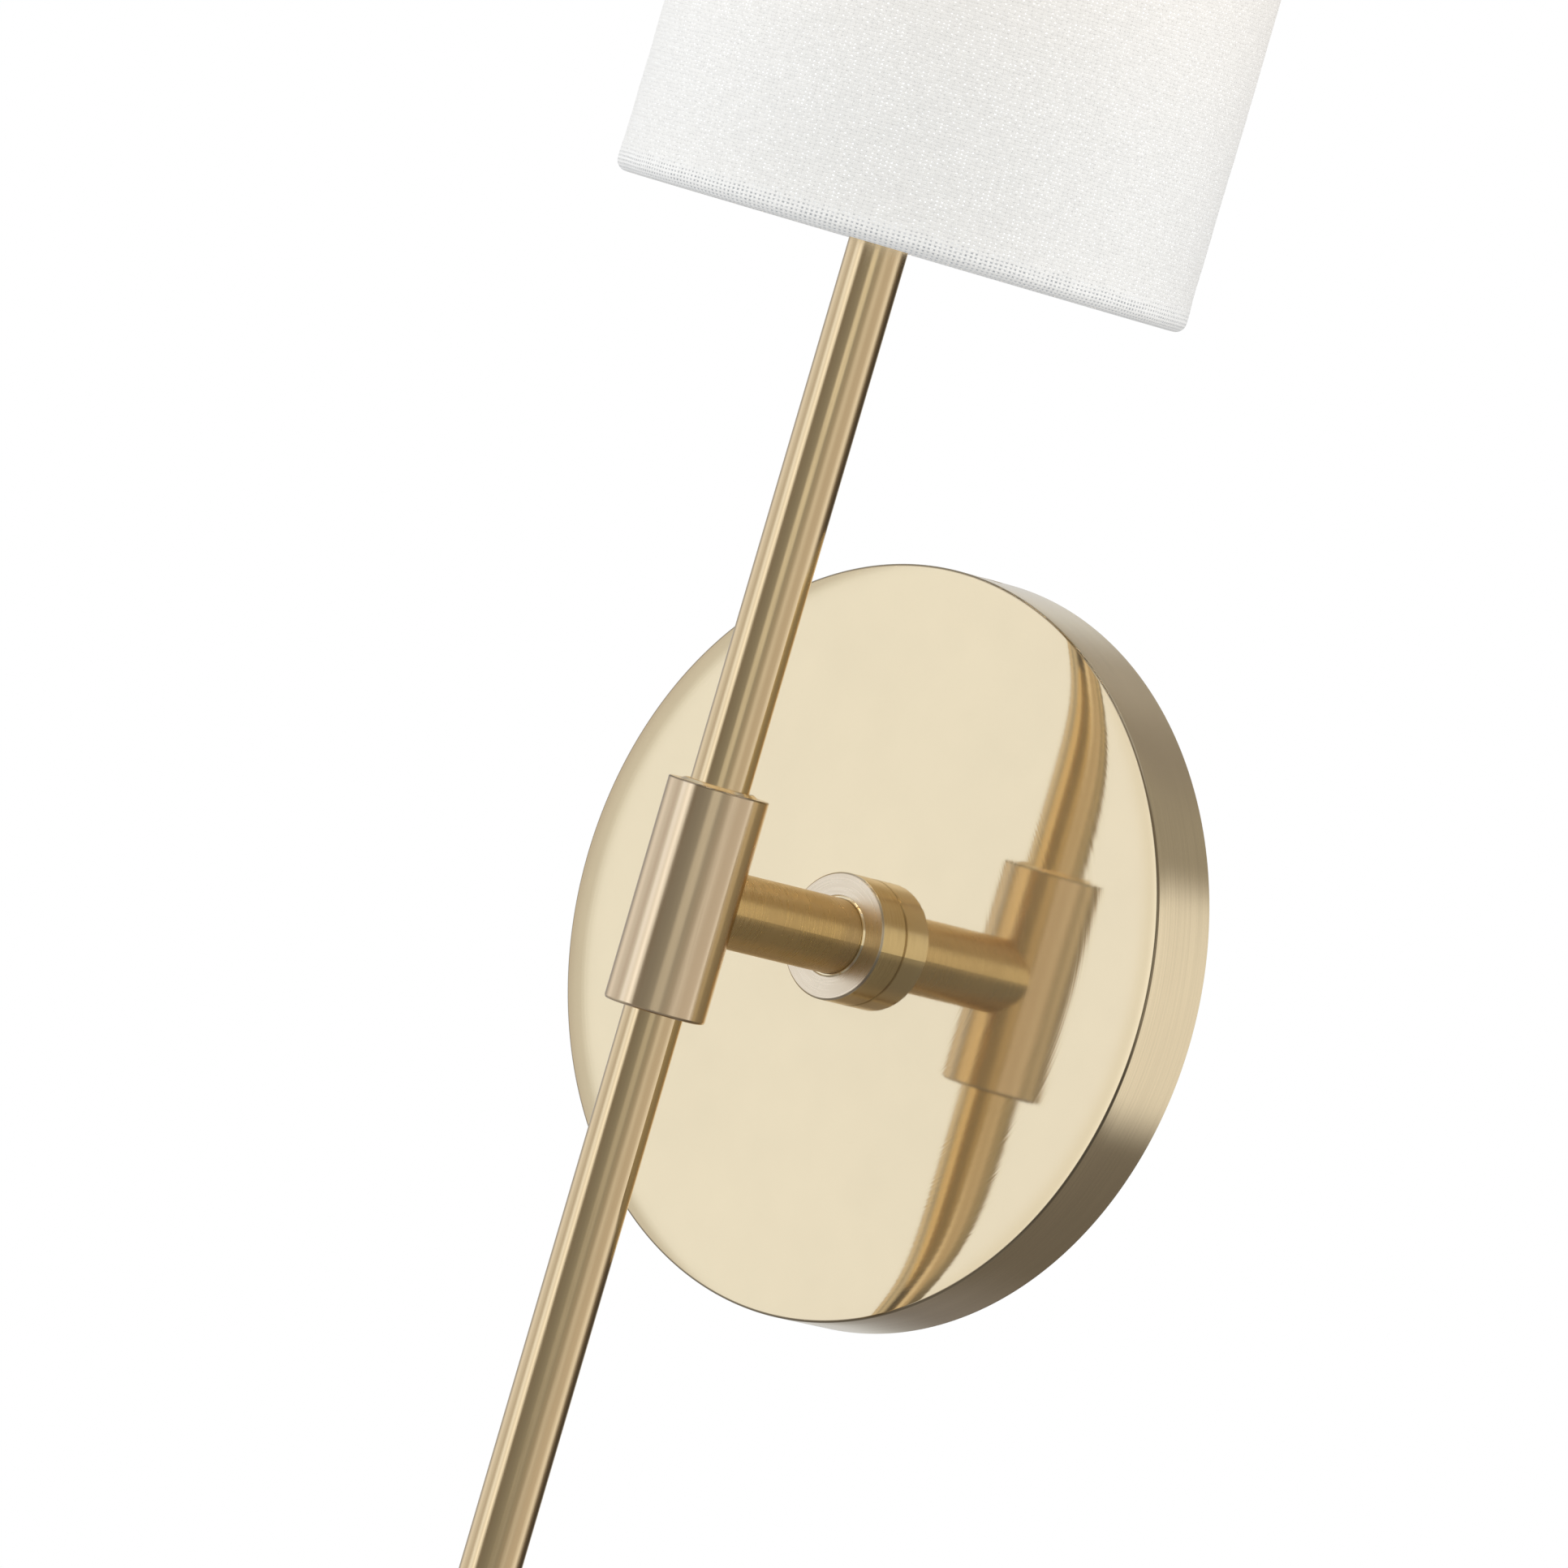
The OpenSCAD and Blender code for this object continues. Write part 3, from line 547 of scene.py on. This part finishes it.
def edge_section():
    """Section of the lower edge from the wall's outside to the hem's inner top: (radius, height,
    share of the way up the hem). The outer skin comes first and the inner skin goes back."""
    t = CLOTH_T
    outside = arc((COVER_R - EDGE_R, EDGE_R), EDGE_R, 0, -90, 7)
    outside += arc((HEM_IN_R + CURL_R, CURL_R), CURL_R, -90, -180, 5)
    skin = [(r, h, None) for r, h in outside]
    skin += [(HEM_IN_R, 0.0, s) for s in (0.33, 0.67, 0.95)]
    skin += [(HEM_IN_R + 0.25 * t, 0.0, 1.0), (HEM_IN_R + 0.75 * t, 0.0, 1.0)]
    skin += [(HEM_IN_R + t, 0.0, s) for s in (0.95, 0.5, 0.1)]
    inside = arc((HEM_IN_R + CURL_R, CURL_R), CURL_R - t, -180, -90, 3)
    inside += arc((COVER_R - EDGE_R, EDGE_R), EDGE_R - t, -90, 0, 4)
    return skin + [(r, h, None) for r, h in inside]


def cover_section():
    """The cover's whole section as one closed loop: outer wall downwards, lower edge, inner wall
    upwards, upper edge. A fourth value says which end a point's height is counted from."""
    wall_up = [EDGE_R + (COVER_H - 2 * EDGE_R) * i / COVER_ROWS for i in range(1, COVER_ROWS)]
    edge = edge_section()
    section = [(COVER_R, h, None, 1) for h in reversed(wall_up)]
    section += [(r, h, s, 1) for r, h, s in edge]
    section += [(COVER_R - CLOTH_T, h, None, 1) for h in wall_up[::3]]
    return section + [(r, h, s, -1) for r, h, s in reversed(edge)]


def cover_ring(section, turn):
    """Where the section's points lie at one turn round the drum."""
    out = Vector((math.cos(turn), math.sin(turn), 0))
    hems = {1: hem_height(turn), -1: HEM_H}
    ring = []
    for r, h, share, end in section:
        if share is not None:
            h = CURL_R + share * (hems[end] - CURL_R)
        z = h if end > 0 else COVER_H - h
        lift = 0.0
        if r > COVER_R - EDGE_R:
            lift = seam_lift(turn)
            if min(z, COVER_H - z) < HEM_BAND:
                lift += HEM_FULLNESS
        place = out * r + Vector((0, 0, z))
        ring.append(SHADE_AXIS + out * (r + lift + ripple(place)) + Vector((0, 0, COVER_LOW.z + z)))
    return ring


def lengths_along(ring):
    """Distance of each point of a closed loop from its first, and last the whole way round."""
    lengths = [0.0]
    for a, b in zip(ring, ring[1:] + ring[:1]):
        lengths.append(lengths[-1] + (b - a).length)
    return lengths


def make_cover():
    """The linen drum with its turned-in hems and its seam. Its UVs count the threads."""
    section = cover_section()
    turns = cover_turns()
    bm = bmesh.new()
    weave = bm.loops.layers.uv.new("weave")
    rings = []
    lengths = []
    for turn in turns:
        ring = cover_ring(section, turn)
        rings.append([bm.verts.new(point) for point in ring])
        lengths.append(lengths_along(ring))
    for k, ring in enumerate(rings):
        after = (k + 1) % len(rings)
        at = (turns[k], turns[after] + (TAU if after == 0 else 0))
        for i in range(len(ring)):
            j = (i + 1) % len(ring)
            face = bm.faces.new((ring[i], ring[j], rings[after][j], rings[after][i]))
            marks = ((at[0], lengths[k][i]), (at[0], lengths[k][i + 1]),
                     (at[1], lengths[after][i + 1]), (at[1], lengths[after][i]))
            for corner, (turn, down) in zip(face.loops, marks):
                corner[weave].uv = (turn * THREADS_ROUND / TAU, down / WEFT_PITCH)
    bmesh.ops.recalc_face_normals(bm, faces=bm.faces)
    mesh = bpy.data.meshes.new("cover")
    bm.to_mesh(mesh)
    bm.free()
    smooth(mesh, 50)
    cover = new_object("linen_cover", mesh, "stem")
    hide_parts("shade_fabric")
    mesh.materials.append(linen_paint())


def threads(paint, run, other, seed, phase, half_widths):
    """(width profile, height) of the threads that run one way. run counts these threads and other
    counts the ones that they cross, under and over in turn."""
    index = paint.math("FLOOR", run)
    off_middle = paint.math("ABSOLUTE", paint.math("SUBTRACT", paint.math("FRACT", run), 0.5))
    along = paint.node("ShaderNodeCombineXYZ", index, paint.math("MULTIPLY", other, 0.11), seed)
    slub = paint.noise(along.outputs[0], 1.0, 2)
    thin, thick, thinner = half_widths
    half = paint.math("SUBTRACT", paint.ramp(slub, 0.25, 0.75, thin, thick), thinner)
    profile = paint.ramp(paint.math("SUBTRACT", half, off_middle), -0.07, 0.15)
    wave = paint.math("SINE", paint.math("MULTIPLY", paint.math("ADD", other, index), math.pi))
    over = paint.math("MULTIPLY_ADD", wave, 0.5 * phase, 0.5)
    return profile, paint.math("MULTIPLY", profile, paint.math("MULTIPLY_ADD", over, 0.6, 0.4))


def chance(paint, across, down, shift, seed, dimensions):
    """A random share for each cell of the weave."""
    cell = paint.node("ShaderNodeCombineXYZ", paint.math("FLOOR", paint.math("ADD", across, shift)),
                      paint.math("FLOOR", paint.math("ADD", down, shift)), seed).outputs[0]
    return paint.node("ShaderNodeTexWhiteNoise", cell, noise_dimensions=dimensions).outputs["Value"]


def linen_paint():
    """Plain weave of slubby threads. The gaps between them show small bright dots, a painted glow for
    the lamp's light through them, and over the hem, where the cloth is double, a grey painted shadow."""
    white = (0.90, 0.90, 0.90)
    paint = Paint("linen", white, 0.85, Sheen_Weight=0.25, Sheen_Roughness=0.5, Specular_IOR_Level=0.2)
    uv = paint.node("ShaderNodeUVMap", uv_map="weave").outputs[0]
    place = paint.place()
    wander = paint.noise(place, 1 / (11 * MM), 2)
    parts = paint.node("ShaderNodeSeparateXYZ", uv).outputs
    across = paint.math("ADD", parts[0], paint.ramp(wander, 0.2, 0.8, -0.16, 0.16))
    down = paint.math("ADD", parts[1], paint.ramp(wander, 0.2, 0.8, 0.18, -0.18))
    up = paint.node("ShaderNodeSeparateXYZ", place).outputs[2]
    from_end = paint.math("MINIMUM", paint.math("SUBTRACT", up, COVER_LOW.z),
                          paint.math("SUBTRACT", COVER_HIGH.z, up))
    hem = paint.ramp(from_end, 0.45 * HEM_BAND, HEM_BAND, 1.0, 0.0)
    fold = paint.ramp(from_end, 0.1 * MM, 0.9 * MM, 1.0, 0.0)

    # The threads, their relief, and the gaps between them.
    thinner = paint.math("MULTIPLY", hem, 0.09)
    warp, warp_height = threads(paint, across, down, 3.0, 1, (*WARP_HALF, thinner))
    weft, weft_height = threads(paint, down, across, 11.0, -1, (*WEFT_HALF, thinner))
    relief = paint.math("MAXIMUM", warp_height, weft_height)
    gap = paint.math("SUBTRACT", 1.0, paint.math("MAXIMUM", warp, weft), clamp=True)
    luck = chance(paint, across, down, 0.5, 0.0, "2D")
    fleck = chance(paint, across, down, 0.0, 5.0, "3D")

    # Colour: painted shade on the threads where they lie low in the weave, flecks by chance, and gaps
    # by chance, with painted shadow in the hem's gaps.
    shading = paint.math("MULTIPLY", paint.ramp(relief, 0.05, 0.75, 0.93, 1.0),
                         paint.ramp(fleck, 0.0, 1.0, 0.94, 1.0))
    thread_colour = paint.mix(shading, (0.0, 0.0, 0.0), white)
    # Painted shadow in the hem's gaps, dark to mid grey by chance.
    hem_gap_shadow = paint.mix(luck, (0.10, 0.10, 0.11), (0.42, 0.42, 0.43))
    open_gap = paint.mix(luck, (0.66, 0.66, 0.67), white)
    cloth = paint.mix(gap, thread_colour, paint.mix(hem, open_gap, hem_gap_shadow))
    paint.feed(paint.bsdf.inputs["Base Color"], cloth)

    # Painted glow, emission for the lamp's light through the cloth: brightest level with the bulb's
    # lower part, a little brighter on the rolled fold and over the hem, cool at the lower hem and warm
    # from the bulb up, with painted bright dots in the open gaps.
    bulb_level = COVER_LOW.z + 0.42 * COVER_H
    off_bulb = paint.math("ABSOLUTE", paint.math("SUBTRACT", up, bulb_level))
    glow = paint.ramp(off_bulb, 0, 0.6 * COVER_H, 0.31, 0.26)
    # Painted glow: a quarter brighter on the rolled fold, and brighter over the hems.
    glow = paint.math("MULTIPLY", glow, paint.math("MULTIPLY_ADD", fold, 0.25, 1.0))
    glow = paint.math("ADD", glow, paint.math("MULTIPLY", hem, 0.07))
    dots = paint.math("MULTIPLY", paint.math("SUBTRACT", gap, paint.math("MULTIPLY", gap, hem)),
                      paint.ramp(luck, 0.25, 1.0, 0.0, 0.60))
    warmth = paint.ramp(up, COVER_LOW.z + 15 * MM, bulb_level)
    paint.feed(paint.bsdf.inputs["Emission Color"], paint.mix(warmth, (0.90, 0.95, 1.0), (1.0, 0.95, 0.90)))
    paint.feed(paint.bsdf.inputs["Emission Strength"], paint.math("ADD", glow, dots))
    paint.bump(relief, 0.07 * MM)
    return paint.material


# ---- liner, bulb and lamp -----------------------------------------------------------------------

LINER_T = 0.4 * MM
LINER_LAP = 7 * MM
LINER_STEPS = 180


def make_liner():
    """The styrene film behind the linen, rolled up with a glued lap at the back."""
    lap = LINER_LAP / LINER_R
    bm = bmesh.new()
    rings = []
    for i in range(LINER_STEPS + 1):
        share = i / LINER_STEPS
        rolled = share * (TAU + lap)
        turn = math.radians(SEAM_TURN) + rolled
        # The lap slides in under the start of the roll.
        under = LINER_T * min(1.0, max(0.0, (rolled - TAU + 1.5 * lap) / (0.5 * lap)))
        out = Vector((math.cos(turn), math.sin(turn), 0))
        wave = 0.12 * MM * noise.noise(out * 3) if 0.1 < share < 0.8 else 0.0
        outer = LINER_R - 0.02 * MM - 1.05 * under - abs(wave)
        inner = outer - 0.9 * LINER_T
        corners = ((outer, LINER_LOW.z), (outer, LINER_HIGH.z), (inner, LINER_HIGH.z), (inner, LINER_LOW.z))
        rings.append([bm.verts.new(SHADE_AXIS + out * r + Vector((0, 0, z))) for r, z in corners])
    for a, b in zip(rings, rings[1:]):
        for k in range(4):
            bm.faces.new((a[k], a[(k + 1) % 4], b[(k + 1) % 4], b[k]))
    for end in (rings[0], rings[-1]):
        bm.faces.new(end)
    bmesh.ops.recalc_face_normals(bm, faces=bm.faces)
    mesh = bpy.data.meshes.new("liner")
    bm.to_mesh(mesh)
    bm.free()
    smooth(mesh)
    liner = new_object("styrene_liner", mesh, "stem")
    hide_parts("shade_liner")
    return liner


BULB_GLASS_T = 0.8 * MM
BULB_NECK_R = 5.1 * MM
BULB_NECK_H = 4 * MM
SWELL_STEPS = 16
TIP_STEPS = 24


def torpedo(inset):
    """Points of the bulb's side from the foot of its neck to the tip: (radius, height)."""
    height = BULB_HIGH.z - BULB_LOW.z
    widest = BULB_NECK_H + 0.42 * (height - BULB_NECK_H)
    points = [(BULB_NECK_R - inset, 0), (BULB_NECK_R - inset, BULB_NECK_H)]
    for i in range(1, SWELL_STEPS + 1):
        swell = math.sin(math.radians(90 * i / SWELL_STEPS)) ** 1.3
        points.append((BULB_NECK_R + (BULB_R - BULB_NECK_R) * swell - inset,
                       BULB_NECK_H + (widest - BULB_NECK_H) * i / SWELL_STEPS))
    for i in range(1, TIP_STEPS):
        turn = math.radians(90 * i / TIP_STEPS)
        points.append(((BULB_R - inset) * math.cos(turn) ** 0.75,
                       widest + (height - inset - widest) * math.sin(turn) ** 1.15))
    return points + [(0, height - inset)]


def make_bulb():
    """The blown glass, a closed shell from its neck to its tip."""
    profile = torpedo(0) + torpedo(BULB_GLASS_T)[::-1]
    centre = Vector((0, STEM_AXIS.y, BULB_LOW.z))
    mesh = turned("bulb", profile, 64, Matrix.Translation(centre))
    smooth(mesh)
    bulb = new_object("blown_bulb", mesh, "stem")
    bulb.visible_shadow = False
    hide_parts("bulb_glass")
    return bulb


def add_lamp():
    """The lit filaments' light, inside the bulb."""
    data = bpy.data.lights.new("lamp", "POINT")
    data.energy, data.color, data.shadow_soft_size = 0.09, (1.0, 0.86, 0.66), 6 * MM
    lamp = bpy.data.objects.new("lamp", data)
    lamp.location = (0, STEM_AXIS.y, (BULB_LOW.z + BULB_HIGH.z) / 2)
    lamp.visible_glossy = False
    SCENE.collection.objects.link(lamp)


# ---- materials of the CAD nodes -----------------------------------------------------------------

SATIN = (0.88, 0.72, 0.48)
SLEEVE = (0.88, 0.735, 0.55)
WARM = (0.86, 0.68, 0.41)
PALE = (0.90, 0.78, 0.56)
# Paler, pinker tone for the collar's front face: a painted reflection.
COLLAR_FACE_REFLECTION = (0.86, 0.765, 0.63)            # the collar's polished front
RAW = (0.80, 0.62, 0.33)

COLLAR_LOW, COLLAR_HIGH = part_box("collar")
COLLAR_R = COLLAR_HIGH.x
SLEEVE_LOW, SLEEVE_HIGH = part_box("sleeve")
RING_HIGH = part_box("upper_end_ring")[1]

# Nodes with a paint of their own, then the paint of each material slot.
BY_NODE = {
    # The edges= circles below get a painted dark line: painted reflection on outer edges, painted shade in
    # joints.
    "collar": lambda: brass("collar_brass", PALE, 0.20, WALL_AXIS, "Y", face=(COLLAR_LOW.y, COLLAR_FACE_REFLECTION),
                            edges=[(COLLAR_R, COLLAR_LOW.y), (COLLAR_R, COLLAR_HIGH.y)]),
    "bearing_ring": lambda: brass("bearing_brass", PALE, 0.12, WALL_AXIS, "Y"),
    "set_screws": lambda: brass("set_screw_brass", SATIN, 0.25, WALL_AXIS, "Z"),
    "stem": lambda: brass("stem_brass", SATIN, 0.13, STEM_AXIS, "Z", drawn_r=STEM_R, depth=0.002,
                          Specular_Tint=(0.92, 0.86, 0.78, 1)),
    "sleeve": lambda: brass("sleeve_brass", SLEEVE, 0.14, STEM_AXIS, "Z", drawn_r=SLEEVE_HIGH.x, depth=0.002,
                            edges=[(SLEEVE_HIGH.x, SLEEVE_HIGH.z), (RING_HIGH.x, SLEEVE_HIGH.z),
                                   (SLEEVE_HIGH.x, SLEEVE_LOW.z)]),
    "upper_end_ring": lambda: brass("ring_brass", PALE, 0.14, STEM_AXIS, "Z",
                                    edges=[(RING_HIGH.x, RING_HIGH.z), (STEM_R, RING_HIGH.z)]),
}
BY_SLOT = {
    # The plate's rim corner gets a painted dark line, a painted reflection.
    "polished_brass": lambda: brass("plate_brass", PALE, 0.045, WALL_AXIS, "Y", depth=0.0015,
                                    rim_r=PLATE_R - 0.3 * MM, Metallic=0.88, Specular_Tint=(1, 1, 1, 1),
                                    edges=[(PLATE_R - 0.12 * MM, 0.46 * MM - FACE_H)]),
    "satin_brass": lambda: brass("satin_brass", SATIN, 0.13, STEM_AXIS, "Z"),
    "arm_brass": lambda: brass("arm_brass", WARM, 0.28, WALL_AXIS, "Y", blotch=0.10),
    "raw_brass": lambda: brass("raw_brass", RAW, 0.30, STEM_AXIS, "Z"),
    "zinc_steel": lambda: moulded("zinc_steel", (0.72, 0.74, 0.76), 0.36, grain=0.6, depth=0.03,
                                  Metallic=0.9),
    "nickel_shell": lambda: moulded("nickel", (0.74, 0.73, 0.70), 0.22, Metallic=1.0),
    "green_screw": lambda: moulded("green_zinc", (0.13, 0.36, 0.17), 0.35, Metallic=0.6),
    "nylon": lambda: moulded("nylon", (0.86, 0.84, 0.77), 0.45, Subsurface_Weight=0.1),
    "phenolic": lambda: moulded("phenolic", (0.045, 0.04, 0.037), 0.4),
    "lead_sheath": lambda: moulded("lead_sheath", (0.80, 0.79, 0.76), 0.4),
    # The liner film glows with a painted warm emission, for the lamp's light on it.
    "liner_film": lambda: moulded("liner_film", (0.93, 0.92, 0.90), 0.45, grain=0.8,
                                  Emission_Color=(1.0, 0.93, 0.80, 1), Emission_Strength=0.12),
    "white_wire": lambda: moulded("white_wire", (0.88, 0.88, 0.86), 0.35, grain=0.4),
    "bulb_glass": lambda: moulded("bulb_glass", (0.97, 0.96, 0.93), 0.02, grain=3, depth=0.02,
                                  Transmission_Weight=1.0, IOR=1.47),
    "black_glass": lambda: moulded("black_glass", (0.05, 0.05, 0.055), 0.15),
    "filament_glow": lambda: moulded("filament_glow", (1.0, 0.8, 0.46), 0.5,
                                     Emission_Color=(1.0, 0.8, 0.46, 1), Emission_Strength=2.5),
}


def paint_nodes():
    """Each CAD node takes its own paint, or its slot's. The linen's CAD solid isn't shown, so it has
    neither."""
    made = {}
    for part in frame["record"]["subparts"]:
        node, slot = part["node"], part["material_slot"]
        if slot not in BY_SLOT and node not in BY_NODE:
            continue
        key = node if node in BY_NODE else slot
        if key not in made:
            made[key] = BY_NODE[node]() if node in BY_NODE else BY_SLOT[slot]()
        for material_slot in NODES[node].material_slots:
            material_slot.material = made[key]
    return made


# ---- all together -------------------------------------------------------------------------------

add_camera()
add_world()
add_fill("fill_left", -75, 15, 8.6)
add_fill("fill_right", 75, 20, 11.5)
add_fill("fill_front", 0, 30, 7)
add_floor()
SCENE.view_settings.view_transform = "Standard"

paints = paint_nodes()
plate = make_backplate()
plate.data.materials.clear()
plate.data.materials.append(paints["polished_brass"])
make_cover()
make_liner().data.materials.append(paints["liner_film"])
make_bulb().data.materials.append(paints["bulb_glass"])
add_lamp()
